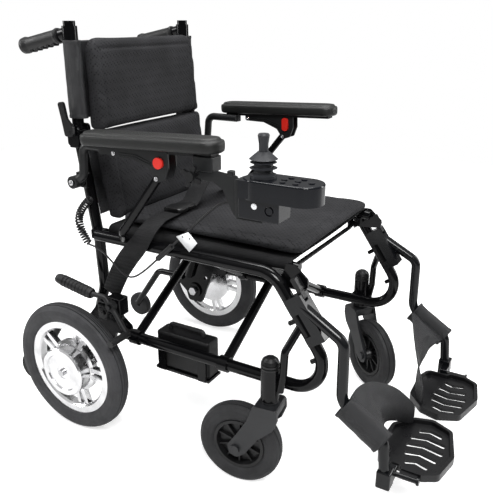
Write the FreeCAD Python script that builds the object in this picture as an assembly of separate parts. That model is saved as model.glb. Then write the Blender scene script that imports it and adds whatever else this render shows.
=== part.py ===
import FreeCAD, Part
import math
import os

V = FreeCAD.Vector
os.makedirs("parts", exist_ok=True)

# ------------------------------------------------------------------ driving dimensions (mm)
# Working frame: X across the chair (the user's right side is -X), Y to the rear with the drive
# axle at Y = 0, Z up from the floor.  The chair faces -Y.
AXLE_IN_ROW_Y = 290.0        # drive axle's Y once the finished chair is centred on its box

WHEEL_R = 159.0              # drive tyre outer radius
WHEEL_X = 300.0              # drive wheel centre plane
RIM_R = 116.0
DRUM_R = 61.0                # hub motor drum
DRUM_FACE_X = 336.0
AXLE_R = 8.0

CASTER_R = 92.0
CASTER_HALF = 19.5
CASTER_TRAIL = 64.0
CASTER_HUB_R = 54.0
STEM_X = 260.0
STEM_Y = -505.0
STEM_R = 8.0
CASTER_TURN_RIGHT = 7.0      # the two casters stand at different angles at rest
CASTER_TURN_LEFT = 144.0

TUBE_R = 12.7                # side frame tube
TUBE_WALL = 2.0
SIDE_X = 227.0               # side frame plane
LOWER_Z = 238.0
TOP_Z = 472.0
FRONT_CORNER_Y = -492.0
FRONT_ANGLE = 55.0           # slope of the inclined front tube
FRONT_BEND_R = 60.0
LOWER_REAR_Y = -105.0
TOP_REAR_Y = -42.0

POST_X = 202.0
HINGE_Y = 10.0               # back fold hinge
HINGE_Z = 700.0
CANE_TOP_Z = 927.0
GRIP_Z = 904.0

RAIL_X = 200.0               # seat rails carried by the cross braces
RAIL_Z = 482.0
RAIL_R = 11.0
SPREADER_PIVOT = (174.0, 461.0)
BRACE_YS = (-138.0, -378.0)
BRACE_R = 10.5
BRACE_GAP = 24.0
COLLAR_R = 17.0
COLLAR_HALF = 11.5

ARM_X = 269.0
PAD_Z = (690.0, 718.0)
PAD_Y = (-406.0, -75.0)
PAD_RISE = 2.2               # the pad climbs this many degrees towards its front
PAD_HALF = 30.0
ARM_PIVOT = (-8.0, 595.0)
ARM_PIN_R = 6.0

WING_KNOB = (-295.7, -360.0, 662.0)

STICK_Y = -488.0
STICK_X = -265.0
CASE_HALF = 36.5
CASE_TOP_Z = 668.0

HANGER_X = 240.0
HANGER_TUBE_R = 11.0
PLATE_HINGE_X = 214.0
PLATE_HINGE_Z = 98.0

RUN = 0.05                   # radial clearance of a running fit
GAP = 0.3                    # clearance between neighbouring bodies
CORD_R = 2.5
COIL_R = 9.5                 # outside of the coiled cord's turns
COIL_WIRE_R = 2.1


# ------------------------------------------------------------------ helpers
def box(x0, x1, y0, y1, z0, z1, r=0.0):
    """Axis-aligned block between six planes, with its edges rounded by r."""
    body = Part.makeBox(x1 - x0, y1 - y0, z1 - z0, V(x0, y0, z0))
    return body.makeFillet(r, body.Edges) if r else body


def cyl(r, start, end):
    """Solid cylinder between two points."""
    a, b = V(*start), V(*end)
    return Part.makeCylinder(r, (b - a).Length, a, b - a)


def ring(r_out, r_in, start, end):
    """Bored cylinder between two points."""
    a, b = V(*start), V(*end)
    lead = (b - a).normalize()
    return cyl(r_out, start, end).cut(cyl(r_in, tuple(a - lead), tuple(b + lead)))


def join(shapes):
    """One welded solid from several."""
    body = shapes[0]
    for other in shapes[1:]:
        body = body.fuse(other)
    return body.removeSplitter()


def corner(before, at, after, radius):
    """Start, middle and end points of the arc that rounds one corner."""
    a = (before - at).normalize()
    b = (after - at).normalize()
    half = (math.pi - a.getAngle(b)) / 2
    reach = min(radius * math.tan(half), 0.49 * (before - at).Length, 0.49 * (after - at).Length)
    if half < 0.01 or reach < 0.01:
        return None
    r = reach / math.tan(half)
    middle = at + (a + b).normalize() * (r / math.cos(half) - r)
    return at + a * reach, middle, at + b * reach


def route(points, radii):
    """Open wire of straight runs joined by tangent arcs."""
    pts = [V(*p) for p in points]
    if not isinstance(radii, (list, tuple)):
        radii = [radii] * (len(pts) - 2)
    edges = []
    here = pts[0]
    for i in range(1, len(pts) - 1):
        arc = corner(pts[i - 1], pts[i], pts[i + 1], radii[i - 1])
        if arc is None:
            continue
        edges.append(Part.makeLine(here, arc[0]))
        edges.append(Part.Arc(*arc).toShape())
        here = arc[2]
    edges.append(Part.makeLine(here, pts[-1]))
    return Part.Wire(edges)


def rod(points, radii, r):
    """Round bar swept along a route."""
    start = V(*points[0])
    profile = Part.Wire(Part.makeCircle(r, start, V(*points[1]) - start))
    return route(points, radii).makePipeShell([profile], True, False)


def tube(points, radii, r, wall=TUBE_WALL):
    """Round tube, open at both ends."""
    return rod(points, radii, r).cut(rod(points, radii, r - wall))


def plate(points, radius, push):
    """Flat plate: a closed outline with rounded corners, pushed along a vector."""
    pts = [V(*p) for p in points]
    count = len(pts)
    arcs = []
    for i in range(count):
        arcs.append(corner(pts[i - 1], pts[i], pts[(i + 1) % count], radius) or (pts[i], None, pts[i]))
    edges = []
    for i in range(count):
        if arcs[i][1] is not None:
            edges.append(Part.Arc(*arcs[i]).toShape())
        end, start = arcs[i][2], arcs[(i + 1) % count][0]
        if (start - end).Length > 1e-6:
            edges.append(Part.makeLine(end, start))
    return Part.Face(Part.Wire(edges)).extrude(V(*push))


def yz_plate(outline, x0, x1, radius):
    """Plate standing in a Y-Z plane between two X values."""
    return plate([(x0, y, z) for y, z in outline], radius, (x1 - x0, 0, 0))


def spun(profile, centre, axis=(1, 0, 0)):
    """Ring turned from a (height along axis, radius) profile about an axis through a centre."""
    pts = [V(radius, 0, height) for height, radius in profile]
    face = Part.Face(Part.makePolygon(pts + [pts[0]]))
    solid = face.revolve(V(0, 0, 0), V(0, 0, 1), 360)
    solid.Placement = FreeCAD.Placement(V(*centre), FreeCAD.Rotation(V(0, 0, 1), V(*axis)))
    return solid


def left_of(shape):
    """The same piece on the user's left side."""
    return shape.mirror(V(0, 0, 0), V(1, 0, 0))


def emit(name, *shapes):
    """Write one node, moved so the chair's box is centred on the origin."""
    body = shapes[0] if len(shapes) == 1 else Part.makeCompound(list(shapes))
    body = body.copy()
    body.translate(V(0, AXLE_IN_ROW_Y, 0))
    body.exportStep("parts/%s.step" % name)


def emit_pair(name, *shapes):
    """Write the right-hand piece and its mirror image."""
    emit(name + "_right", *shapes)
    emit(name + "_left", *[left_of(s) for s in shapes])


GRIP_DROOP = math.radians(12)                        # the push handles point slightly down
GRIP_LEAN = V(0, math.cos(GRIP_DROOP), -math.sin(GRIP_DROOP))
GRIP_START = V(-POST_X, HINGE_Y, GRIP_Z) + GRIP_LEAN * 30

SLOPE = math.radians(FRONT_ANGLE)
ALONG = V(0, math.cos(SLOPE), math.sin(SLOPE))       # up the inclined front tube
AHEAD = V(0, -math.sin(SLOPE), math.cos(SLOPE))      # square to it, towards the front


def on_front_tube(z, ahead=0.0, side=0.0):
    """Point on the inclined tube's centreline at height z, stepped ahead of it and sideways."""
    y = FRONT_CORNER_Y - (TOP_Z - z) / math.tan(SLOPE)
    return V(-SIDE_X + side, y, z) + AHEAD * ahead


# ------------------------------------------------------------------ side frames
def side_frame():
    """Bent main tube with caster housing, brace, rear post, axle plate and brackets, welded."""
    x = -SIDE_X
    foot_y = FRONT_CORNER_Y - (TOP_Z - LOWER_Z) / math.tan(SLOPE)
    loop = [(x, TOP_REAR_Y, TOP_Z), (x, FRONT_CORNER_Y, TOP_Z), (x, foot_y, LOWER_Z),
            (x, LOWER_REAR_Y, LOWER_Z)]
    frame = rod(loop, FRONT_BEND_R, TUBE_R)
    post_line = [(-POST_X, 16, 205), (-POST_X, -28, 335), (-POST_X, -24, 450), (-POST_X, HINGE_Y - 1, 676)]
    parts = [
        frame,
        rod(post_line, 60, TUBE_R),
        cyl(19, (-STEM_X, STEM_Y, 212), (-STEM_X, STEM_Y, 282)),
        box(-STEM_X + 12, -SIDE_X - 6, STEM_Y - 15, STEM_Y + 15, 226, 250),
        rod([(-STEM_X, STEM_Y - 22, 236), (-STEM_X, STEM_Y - 28.6, 274), (-STEM_X + 2, STEM_Y - 30, 325),
             tuple(on_front_tube(380))], [30, 24], 8),
        yz_plate([(-112, 226), (-112, 252), (-62, 290), (-14, 292), (34, 232), (62, 214), (62, 178),
                  (30, 150),
                  (22, 122), (-24, 122), (-40, 165), (-66, 226)], -217, -208, 10),
        cyl(23, (-238, 0, WHEEL_R), (-202, 0, WHEEL_R)),
        box(-SIDE_X - 2, -POST_X, -56, -24, 461, 483, 3),
        box(-SIDE_X - 14, -SIDE_X + 11, -96, -36, 268, 312, 3),
        box(-262, -SIDE_X - 4, -124, -84, 300, 342, 3),
        box(-SIDE_X - 4, -SIDE_X + 18, -166, -130, TOP_Z - 8, RAIL_Z - RAIL_R - GAP),
        box(-SIDE_X - 4, -SIDE_X + 18, -470, -430, TOP_Z - 8, RAIL_Z - RAIL_R - GAP),
        yz_plate([(-560, 448), (-560, 466), (-530, 492), (-514, 492), (-500, 452), (-480, 440)], -217,
                 -211.7, 5),
        box(-228, -POST_X - 8, ARM_PIVOT[0] - 16, ARM_PIVOT[0] + 14, ARM_PIVOT[1] - 17, ARM_PIVOT[1] + 17, 2),
        cyl(ARM_PIN_R, (-258, *ARM_PIVOT), (-220, *ARM_PIVOT)),
        yz_plate([(-6, 668), (-6, HINGE_Z + 14), (26, HINGE_Z + 14), (26, 668)], -222, -216.2, 8),
        yz_plate([(-6, 668), (-6, HINGE_Z + 14), (26, HINGE_Z + 14), (26, 668)], -187.8, -182, 8),
        box(-222, -182, -4, 22, 664, 678, 2),
        rod([(-ARM_X, -264, 648), (-ARM_X + 4, -152, 508), (-SIDE_X - 2, -122, 474)], 16, 9),
        rod([(-206, 40, 196), (-206, 132, 196), (-206, 224, 66)], 30, 9.5),
        cyl(6, (-206, 232, 52), (-237, 232, 52)),
        cyl(13, (-206 + 9, 232, 52), (-206 - 9, 232, 52)),
        cyl(6, (-262, -108, 328), (-284, -108, 328)),
    ]
    for z in (388, 317):
        parts.append(cyl(5, tuple(on_front_tube(z, 0)), tuple(on_front_tube(z, -27))))
    body = join(parts)
    cuts = [
        rod(loop, FRONT_BEND_R, TUBE_R - TUBE_WALL),
        rod(post_line, 60, TUBE_R - TUBE_WALL),
        cyl(16, (-STEM_X, STEM_Y, 211), (-STEM_X, STEM_Y, 283)),
        cyl(AXLE_R + RUN, (-245, 0, WHEEL_R), (-195, 0, WHEEL_R)),
        cyl(6 + RUN, (-230, HINGE_Y, HINGE_Z), (-175, HINGE_Y, HINGE_Z)),
        cyl(7, (-225, -88, 250), (-200, -88, 250)),
        cyl(9, (-225, -52, 262), (-200, -52, 262)),
        cyl(7, (-225, 38, 196), (-211, 38, 196)),
        cyl(6, (-225, -40, 205), (-200, -40, 205)),
    ]
    for tool in cuts:
        body = body.cut(tool)
    return max(body.Solids, key=lambda s: s.Volume)


def fittings():
    """Plastic and turned pieces pressed on the side frame: bearings, dome, plugs, saddles."""
    stem = (-STEM_X, STEM_Y)
    bearings = [ring(15.95, STEM_R + RUN, (*stem, z), (*stem, z + 11)) for z in (214, 269)]
    dome = spun([(0, 0), (0, 18.9), (4, 18.9), (4, 17), (7, 17), (7, 18.9), (11, 18.9), (11, 17), (14, 17),
                 (14, 18.5), (20, 16), (25, 10), (27, 0)], (*stem, 282.2), (0, 0, 1))
    plug = cyl(9.6, (-SIDE_X, LOWER_REAR_Y - 8, LOWER_Z), (-SIDE_X, LOWER_REAR_Y + 4, LOWER_Z))
    screws = [cyl(5, (-SIDE_X - 14.1, y, z), (-SIDE_X - 18, y, z)) for y, z in ((-52, 284), (-80, 284))]
    return bearings + [dome, plug, hinge_pin()] + screws


def motor_mount():
    """Fixed axle with the stator inside the hub drum, and the nuts at its inner end."""
    axle = cyl(AXLE_R, (-196, 0, WHEEL_R), (-DRUM_FACE_X - 6, 0, WHEEL_R))
    stator = cyl(52, (-298, 0, WHEEL_R), (-326, 0, WHEEL_R))
    nut = plate([(-201.9, 13 * math.cos(math.radians(a)), WHEEL_R + 13 * math.sin(math.radians(a)))
                 for a in range(0, 360, 60)], 0.5, (9, 0, 0))
    return join([axle, stator, nut])


# ------------------------------------------------------------------ drive wheels
def drive_tyre():
    """Hollow carcass with a rounded tread, four grooves and a bead on each rim edge."""
    outer = [(-13.7, 117.9), (-17.2, 119.5), (-20.5, 128), (-21.5, 138), (-20, 147), (-15.5, 154),
             (-11, 156.8), (-10.6, 155),
             (-9.2, 155), (-8.8, 157.8), (-3.6, 159), (-3.2, 157), (-1.8, 157), (-1.4, 159)]
    inner = [(-10.5, 117.9), (-12.5, 121), (-15.5, 129), (-16, 138), (-14.5, 146), (0, 152)]
    mirror = [(-h, r) for h, r in reversed(outer)]
    hollow = [(-h, r) for h, r in inner[:-1]]
    profile = outer + mirror + hollow + list(reversed(inner))
    return spun([(h, r) for h, r in profile], (-WHEEL_X, 0, WHEEL_R))


def drive_wheel():
    """Cast wheel: rim channel, five forked spokes and the motor drum with its bearing boss."""
    centre = (-WHEEL_X, 0, WHEEL_R)
    rim = spun([(-13.7, 102), (-13.7, 117), (-11.8, 117.6), (-9.7, 111.5), (0, 106), (9.7, 111.5),
                (11.8, 117.6),
                (13.7, 117), (13.7, 102), (9, 98), (-9, 98)], centre)
    d = WHEEL_X - DRUM_FACE_X
    drum = spun([(d, 16), (d, 44), (d - 3, 46), (d - 3, 57), (d, DRUM_R - 1), (d + 3, DRUM_R - 1),
                 (d + 4, 58),
                 (d + 30, 58), (d + 34, 66), (d + 48, 66), (d + 48, AXLE_R + 0.1), (d + 42, AXLE_R + 0.1),
                 (d + 42, 54), (d + 7, 54), (d + 7, AXLE_R + 0.1), (d + 1, AXLE_R + 0.1), (d + 1, 16)],
                 centre)
    parts = [rim, drum]
    for k in range(5):
        turn = 72 * k + 20
        for lean in (-9, 9):
            spoke = plate([(-WHEEL_X - 6, -6, 60), (-WHEEL_X - 6, 6, 60),
                           (-WHEEL_X - 6, 4.5 + lean * 0.4, 101),
                           (-WHEEL_X - 6, -4.5 + lean * 0.4, 101)], 1, (14, 0, 0))
            spoke.rotate(V(0, 0, 0), V(1, 0, 0), turn + lean)
            spoke.translate(V(0, 0, WHEEL_R))
            parts.append(spoke)
    return join(parts)


# ---------------------------------------- casters, built facing rearward at the stem
def turned(shape, side):
    """Put a caster piece at its stem, turned to its rest angle."""
    body = shape.copy()
    body.rotate(V(0, 0, 0), V(0, 0, 1), CASTER_TURN_RIGHT if side < 0 else CASTER_TURN_LEFT)
    body.translate(V(side * STEM_X, STEM_Y, 0))
    return body


def caster_fork():
    """Cast fork: crown, stem, bearing cup and two broad legs carrying the axle."""
    legs = [(-25, 206), (25, 206), (40, 165), (62, 128), (82, 98), (78, 78), (62, 72), (44, 84), (14, 128),
            (-18, 158),
            (-27, 182)]
    parts = [
        box(-31, 31, -25, 25, 186, 206, 4),
        cyl(18.5, (0, 0, 200), (0, 0, 211.7)),
        cyl(STEM_R, (0, 0, 200), (0, 0, 280)),
        yz_plate(legs, -31, -24, 9),
        yz_plate(legs, 24, 31, 9),
        cyl(10, (-36, CASTER_TRAIL, CASTER_R), (-24, CASTER_TRAIL, CASTER_R)),
        cyl(10, (24, CASTER_TRAIL, CASTER_R), (36, CASTER_TRAIL, CASTER_R)),
        cyl(5, (-30, CASTER_TRAIL, CASTER_R), (30, CASTER_TRAIL, CASTER_R)),
    ]
    return join(parts)


def caster_tyre():
    half = CASTER_HALF
    side = [(-13, 57), (-17, 62), (-half, 72), (-half + 0.5, 82), (-14, 89), (-8, 91.3), (-7.5, 89.5),
            (-6, 89.5),
            (-5.5, 91.8), (0, 92)]
    mirror = [(-h, r) for h, r in reversed(side[:-1])]
    return spun(side + mirror, (0, CASTER_TRAIL, CASTER_R))


def caster_hub():
    """Dished plastic hub with ten thin spokes and a bored boss."""
    centre = (0, CASTER_TRAIL, CASTER_R)
    rim = spun([(-15, 50), (-15, 56.7), (15, 56.7), (15, 50), (3, 46), (-3, 46)], centre)
    boss = spun([(-22, 5 + RUN), (-22, 12), (-10, 17), (10, 17), (22, 12), (22, 5 + RUN)], centre)
    parts = [rim, boss, spun([(-2, 14), (-2, 48), (2, 48), (2, 14)], centre)]
    for k in range(10):
        spoke = box(-9, 9, -1.5, 1.5, 14, 48)
        spoke.rotate(V(0, 0, 0), V(1, 0, 0), 36 * k)
        spoke.translate(V(*centre))
        parts.append(spoke)
    return join(parts)


# ------------------------------------------------------------------ folding cross braces
def brace_bars(side):
    """Two bars rising from collars on one lower rail to the seat rail on the other side.

    side = -1: collars on the right rail, seat rail on the left.  side = +1: the other way round.
    """
    step = 0.0 if side < 0 else -BRACE_GAP
    rail_x = -side * RAIL_X
    parts = [rod([(rail_x, -62, RAIL_Z), (rail_x, -500, RAIL_Z), (rail_x, -534, RAIL_Z - 3)], 60, RAIL_R)]
    cuts = [cyl(5 + RUN, (0, y - 40, cross_z()), (0, y + 40, cross_z())) for y in BRACE_YS]
    for y in BRACE_YS:
        at = y + step
        parts.append(cyl(BRACE_R, (side * SIDE_X, at, LOWER_Z), (rail_x, at, RAIL_Z)))
        parts.append(cyl(COLLAR_R, (side * SIDE_X, at - COLLAR_HALF, LOWER_Z),
                         (side * SIDE_X, at + COLLAR_HALF, LOWER_Z)))
        cuts.append(cyl(TUBE_R + RUN, (side * SIDE_X, at - 40, LOWER_Z), (side * SIDE_X, at + 40, LOWER_Z)))
    body = join(parts)
    for tool in cuts:
        body = body.cut(tool)
    return max(body.Solids, key=lambda s: s.Volume)


def cross_z():
    """Height of the braces' crossing pivot."""
    return LOWER_Z + (RAIL_Z - LOWER_Z) * SIDE_X / (SIDE_X + RAIL_X)


def brace_pivots():
    pins = []
    for y in BRACE_YS:
        z = cross_z()
        pin = cyl(5, (0, y + 14, z), (0, y - BRACE_GAP - 14, z))
        head = cyl(9, (0, y + 11.2, z), (0, y + 16, z))
        nut = cyl(9, (0, y - BRACE_GAP - 11.2, z), (0, y - BRACE_GAP - 16, z))
        pins.append(join([pin, head, nut]))
    return pins


def front_spreader():
    """Bar across the seat front, hinged in a knuckle under the left seat rail."""
    y = -500
    x, z = SPREADER_PIVOT
    bar = rod([(x - 3, y, z - 2), (x - 24, y, z - 5), (-176, y, z)], 8, 5)
    eye = cyl(7.5, (x, y - 6, z), (x, y + 6, z))
    return join([bar, eye]).cut(cyl(3 + RUN, (x, y - 10, z), (x, y + 10, z)))


def spreader_lug():
    """Pin and two ears under the left seat rail's front end that hold the spreader."""
    x, z = SPREADER_PIVOT
    ears = [box(x - 7, RAIL_X, y, y + 3, z - 8, RAIL_Z - 4) for y in (-510, -493)]
    pin = cyl(3, (x, -510, z), (x, -490, z))
    return ears + [pin]


# ------------------------------------------------------------------ back and push handles
def cane():
    """Upper back tube that folds rearward at its lower knuckle, with the push handle's arm."""
    parts = [
        rod([(-POST_X, HINGE_Y, HINGE_Z + 4), (-POST_X, HINGE_Y, CANE_TOP_Z)], [], TUBE_R),
        cyl(11, (-212.6, HINGE_Y, HINGE_Z), (-191.4, HINGE_Y, HINGE_Z)),
        rod([(-POST_X, HINGE_Y, GRIP_Z), tuple(GRIP_START + GRIP_LEAN * 112)], [], 10),
        cyl(16, (-POST_X, HINGE_Y, GRIP_Z - 15), (-POST_X, HINGE_Y, GRIP_Z + 13)),
        rod([(-POST_X, HINGE_Y, GRIP_Z), tuple(GRIP_START - GRIP_LEAN * 6)], [], 13),
    ]
    body = join(parts)
    body = body.cut(cyl(6 + RUN, (-220, HINGE_Y, HINGE_Z), (-184, HINGE_Y, HINGE_Z)))
    return body.cut(cyl(TUBE_R - TUBE_WALL, (-POST_X, HINGE_Y, HINGE_Z + 16),
                        (-POST_X, HINGE_Y, CANE_TOP_Z - 4)))


def hinge_pin():
    head = cyl(9, (-222.2, HINGE_Y, HINGE_Z), (-226, HINGE_Y, HINGE_Z))
    nut = cyl(9, (-181.8, HINGE_Y, HINGE_Z), (-178, HINGE_Y, HINGE_Z))
    lever_post = cyl(4, (-226, HINGE_Y, HINGE_Z), (-233.8, HINGE_Y, HINGE_Z))
    return join([cyl(6, (-226, HINGE_Y, HINGE_Z), (-178, HINGE_Y, HINGE_Z)), head, nut, lever_post])


def push_grip():
    """Moulded grip with finger ridges underneath and a flared end."""
    body = spun([(0, 10.05), (0, 15), (5, 16.5), (12, 14.5), (94, 15.5), (104, 18), (113, 17), (117, 13),
                 (117, 0), (112.5, 0),
                 (112.5, 10.05)], tuple(GRIP_START), tuple(GRIP_LEAN))
    below = V(0, -GRIP_LEAN.z, GRIP_LEAN.y) * -14.0
    ridges = []
    for k in range(5):
        at = GRIP_START + GRIP_LEAN * (20 + 17 * k) + below
        ridges.append(cyl(4, tuple(at + V(-8, 0, 0)), tuple(at + V(8, 0, 0))))
    return join([body] + ridges)


def cane_sleeve():
    """Upholstery sleeve round the upper back tube."""
    profile = Part.Ellipse(V(-POST_X + 2, HINGE_Y - 2, 728), 25, 18)
    outer = Part.Face(Part.Wire(profile.toShape())).extrude(V(0, 0, 142))
    outer.rotate(V(-POST_X + 2, HINGE_Y - 2, 728), V(0, 0, 1), 90)
    return outer.cut(cyl(TUBE_R + GAP, (-POST_X, HINGE_Y, 720), (-POST_X, HINGE_Y, 880)))


def back_lever():
    """Hooked lever outside the hinge that unlocks the folding back."""
    x0, x1 = -233, -226.3
    blade = yz_plate([(HINGE_Y - 12, 690), (HINGE_Y + 12, 690), (HINGE_Y + 18, 724), (HINGE_Y + 26, 762),
                      (HINGE_Y + 10, 764),
                      (HINGE_Y + 3, 728), (HINGE_Y - 12, 712)], x0, x1, 6)
    return blade.cut(cyl(4 + RUN, (-240, HINGE_Y, HINGE_Z), (-215, HINGE_Y, HINGE_Z)))


def back_pads():
    """Upper pad on the folding tubes and lower pad on the fixed posts."""
    half = 181
    upper = plate([(-half, HINGE_Y - 14, HINGE_Z + 2), (-half, HINGE_Y - 14, 892), (-half, HINGE_Y - 40, 892),
                   (-half, HINGE_Y - 60, HINGE_Z + 2)], 8, (2 * half, 0, 0))
    lower = plate([(-half, HINGE_Y - 15, HINGE_Z - 1), (-half, HINGE_Y - 60, HINGE_Z - 1), (-half, -81, 503),
                   (-half, -44, 503)], 8, (2 * half, 0, 0))
    front = [(-half, 60, 503), (-half, 60, 892), (half, 60, 892), (half, 60, 503)]
    rounded = plate(front, 34, (0, -200, 0))
    return upper.common(rounded), lower


# ------------------------------------------------------------------ seat
def seat():
    """Sling over the seat rails, cushion on it and the lap belt across."""
    sling = box(-206, 206, -522, -64, RAIL_Z + RAIL_R + GAP, RAIL_Z + RAIL_R + 4)
    low = RAIL_Z + RAIL_R + 4.3
    cushion = plate([(-192, -530, low), (192, -530, low), (192, -84, low), (-192, -84, low)], 24,
                    (0, 0, 522 - low))
    cushion = cushion.makeFillet(8, [e for e in cushion.Edges
                                     if e.BoundBox.ZMin > 521.9 or e.BoundBox.ZMax < low + 0.1])
    outer = plate([(-213.3, -215, 450), (-213.3, -215, 526), (213.3, -215, 526), (213.3, -215, 450)], 14,
                  (0, 40, 0))
    inner = plate([(-211.9, -216, 440), (-211.9, -216, 524.4), (211.9, -216, 524.4), (211.9, -216, 440)],
                  13, (0, 42, 0))
    belt = outer.cut(inner)
    buckle = box(-150, -88, -220, -170, 523, 535, 3)
    belt = belt.cut(box(-152, -86, -225, -165, 517, 540))
    return sling, cushion, list(belt.Solids) + [buckle]


# ------------------------------------------------------------------ armrests
def with_pad(shape):
    """Tilt a piece with the pad, about the pad's lower rear edge."""
    body = shape.copy()
    body.rotate(V(0, PAD_Y[1], PAD_Z[0]), V(1, 0, 0), -PAD_RISE)
    return body


def arm_frame(with_controller):
    """Rear tube, bar under the pad and the channel-shaped latch bracket that lands on the strut."""
    x = -ARM_X
    outline = [(-150, 688), (-292, 688), (-292, 656), (-282, 632), (-262, 626), (-244, 652), (-206, 668),
               (-150, 671)]
    under_pad = [
        box(x - 13, x + 13, -390, -90, 683, PAD_Z[0] - GAP),
        yz_plate(outline, x - 14, x - 10.5, 5),
        yz_plate(outline, x + 10.5, x + 14, 5),
    ]
    for lift in (0, 1):
        groove = [(-170, 674 + 5 * lift), (-215, 672 + 5 * lift), (-250, 660 + 5 * lift),
                  (-250, 658 + 5 * lift),
                  (-214, 670 + 5 * lift), (-170, 672 + 5 * lift)]
        under_pad.append(yz_plate(groove, x - 15.5, x - 14, 0.4))
        under_pad.append(yz_plate(groove, x + 14, x + 15.5, 0.4))
    button_hole = cyl(11 + GAP, (x - 20, -270, 665), (x - 9, -270, 665))
    parts = [
        with_pad(join(under_pad).cut(box(x - 20, x + 20, -275, -265, 657, 673)).cut(button_hole)),
        rod([(-244, -130, 679), (-244, -40, 679), (-244, -34, 612), (-244, ARM_PIVOT[0], ARM_PIVOT[1])],
            [20, 12], 9.5),
        cyl(14, (-255, *ARM_PIVOT), (-229, *ARM_PIVOT)),
        box(-262, -246, -132, -100, 670, 688),
    ]
    if with_controller:
        parts += [
            box(x - 17, x + 15, -394, -350, 668, 696, 2),
            box(x - 15, x + 12, -390, -354, 650, 670, 2),
            yz_plate([(-362, 652), (-362, 668), (-404, 672), (-446, 668), (-449, 594), (-438, 594),
                      (-428, 612), (-414, 640), (-392, 652)],
                     x - 15, x - 11, 6),
            box(x - 22, x + 13, -452, -444, 594, 664, 1.5),
            box(x - 16, x - 4, -436, -424, 666, 676, 2),
            box(x - 22, x + 20, -500, -446, 590, 594, 1.5),
        ]
    body = join(parts)
    body = body.cut(cyl(ARM_PIN_R + RUN, (-270, *ARM_PIVOT), (-225, *ARM_PIVOT)))
    return max(body.Solids, key=lambda s: s.Volume)


def arm_pad():
    """Padded rest with rounded ends and a soft crown."""
    x = -ARM_X
    body = box(x - PAD_HALF, x + PAD_HALF, *PAD_Y, *PAD_Z)
    upright = [e for e in body.Edges if abs(e.Vertexes[0].Z - e.Vertexes[1].Z) > 1]
    body = body.makeFillet(24, upright)
    top = [e for e in body.Edges if e.BoundBox.ZMin > PAD_Z[1] - 0.1]
    body = body.makeFillet(9, top)
    foot = [e for e in body.Edges if e.BoundBox.ZMax < PAD_Z[0] + 0.1]
    return with_pad(body.makeFillet(4, foot))


def release_button():
    """Red latch button: round outside, long inside, joined through the bracket."""
    x, y, z = -ARM_X, -270.0, 665.0
    outside = cyl(11, (x - 19, y, z), (x - 14.5, y, z))
    core = box(x - 16, x + 16, y - 4.7, y + 4.7, z - 7.7, z + 7.7)
    inside = plate([(x + 14.5, y - 9, z - 17), (x + 14.5, y + 9, z - 17), (x + 14.5, y + 9, z + 17),
                    (x + 14.5, y - 9, z + 17)],
                   8.5, (4, 0, 0))
    return with_pad(join([outside, core, inside]))


# ------------------------------------------------------------------ controller
def controller():
    """Case with a round front, lower housing with the charging socket, stick, boot and keys."""
    x = STICK_X
    x0, x1 = x - CASE_HALF, x + CASE_HALF
    outline = [(x0, -452.4, 632), (x0, -604, 632), (x1, -604, 632), (x1, -452.4, 632)]
    case = plate(outline, 36, (0, 0, CASE_TOP_Z - 632))
    rear = box(x0 + 2, x1 - 2, -476, -455, 634, CASE_TOP_Z - 2)
    housing = box(x - 30, x + 20, -534, -452.4, 594.4, 636, 3)
    top = [e for e in case.Edges if e.BoundBox.ZMin > CASE_TOP_Z - 0.1]
    case = join([case.makeFillet(3, top), rear, housing])
    case = case.cut(cyl(17, (x, STICK_Y, 645), (x, STICK_Y, CASE_TOP_Z + 1)))
    case = case.cut(ring(9, 6.5, (x - 36, -516, 616), (x - 26, -516, 616)))
    for kx, ky in KEYS:
        case = case.cut(cyl(6, (x + kx, ky, CASE_TOP_Z - 4.2), (x + kx, ky, CASE_TOP_Z + 1)))
    boot_profile = [(0.2, 14), (0.2, 24), (5, 24), (8, 17), (14, 17), (17, 25), (20, 17), (24, 17),
                    (27, 24), (30, 18),
                    (33, 25.5), (46, 10.3), (46, 8.6), (40, 10), (30, 14)]
    boot = spun(boot_profile, (x, STICK_Y, CASE_TOP_Z), (0, 0, 1))
    stick = spun([(-9, 0), (-9, 5), (44, 5), (44, 8.3), (60, 8.6), (74, 10.5), (77, 9), (78, 0)],
                 (x, STICK_Y, CASE_TOP_Z), (0, 0, 1))
    z = CASE_TOP_Z - 4
    knob = join([stick, cyl(2.5, (x - 9, STICK_Y, z), (x + 9, STICK_Y, z)),
                 cyl(2.5, (x, STICK_Y - 9, z), (x, STICK_Y + 9, z))])
    keys = [cyl(5.6, (x + kx, ky, CASE_TOP_Z - 2.5), (x + kx, ky, CASE_TOP_Z + 1.6)) for kx, ky in KEYS]
    return case, boot, knob, keys


KEYS = [(-18, -535), (0, -530), (18, -535), (-18, -560), (0, -556), (18, -560), (0, -582)]


def wing_knob():
    """Lobed clamp screw on the outer side of the controller's bracket."""
    x, y, z = WING_KNOB
    shaft = cyl(4, (x + 9.4, y, z), (x - 10, y, z))
    head = cyl(9, (x - 4, y, z), (x - 16, y, z))
    lobes = []
    for k in range(4):
        a = math.radians(90 * k + 25)
        tip = (y + 17 * math.cos(a), z + 17 * math.sin(a))
        lobes.append(cyl(5, (x - 6, *tip), (x - 13, *tip)))
        lobe = box(x - 13, x - 6, -4, 4, 0, 17)
        lobe.rotate(V(0, 0, 0), V(1, 0, 0), math.degrees(a) - 90)
        lobe.translate(V(0, y, z))
        lobes.append(lobe)
    return join([shaft, head] + lobes)


# ------------------------------------------------------------------ leg rests
def front_block(u0, u1, ahead0, ahead1, along0, along1, centre_z=383.0):
    """Block squared to the inclined tube."""
    origin = on_front_tube(centre_z)
    corners = [(ahead0, along0), (ahead1, along0), (ahead1, along1), (ahead0, along1)]
    pts = []
    for ahead, along in corners:
        p = origin + AHEAD * ahead + ALONG * along
        pts.append((-SIDE_X + u0, p.y, p.z))
    return plate(pts, 3, (u1 - u0, 0, 0))


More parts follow.
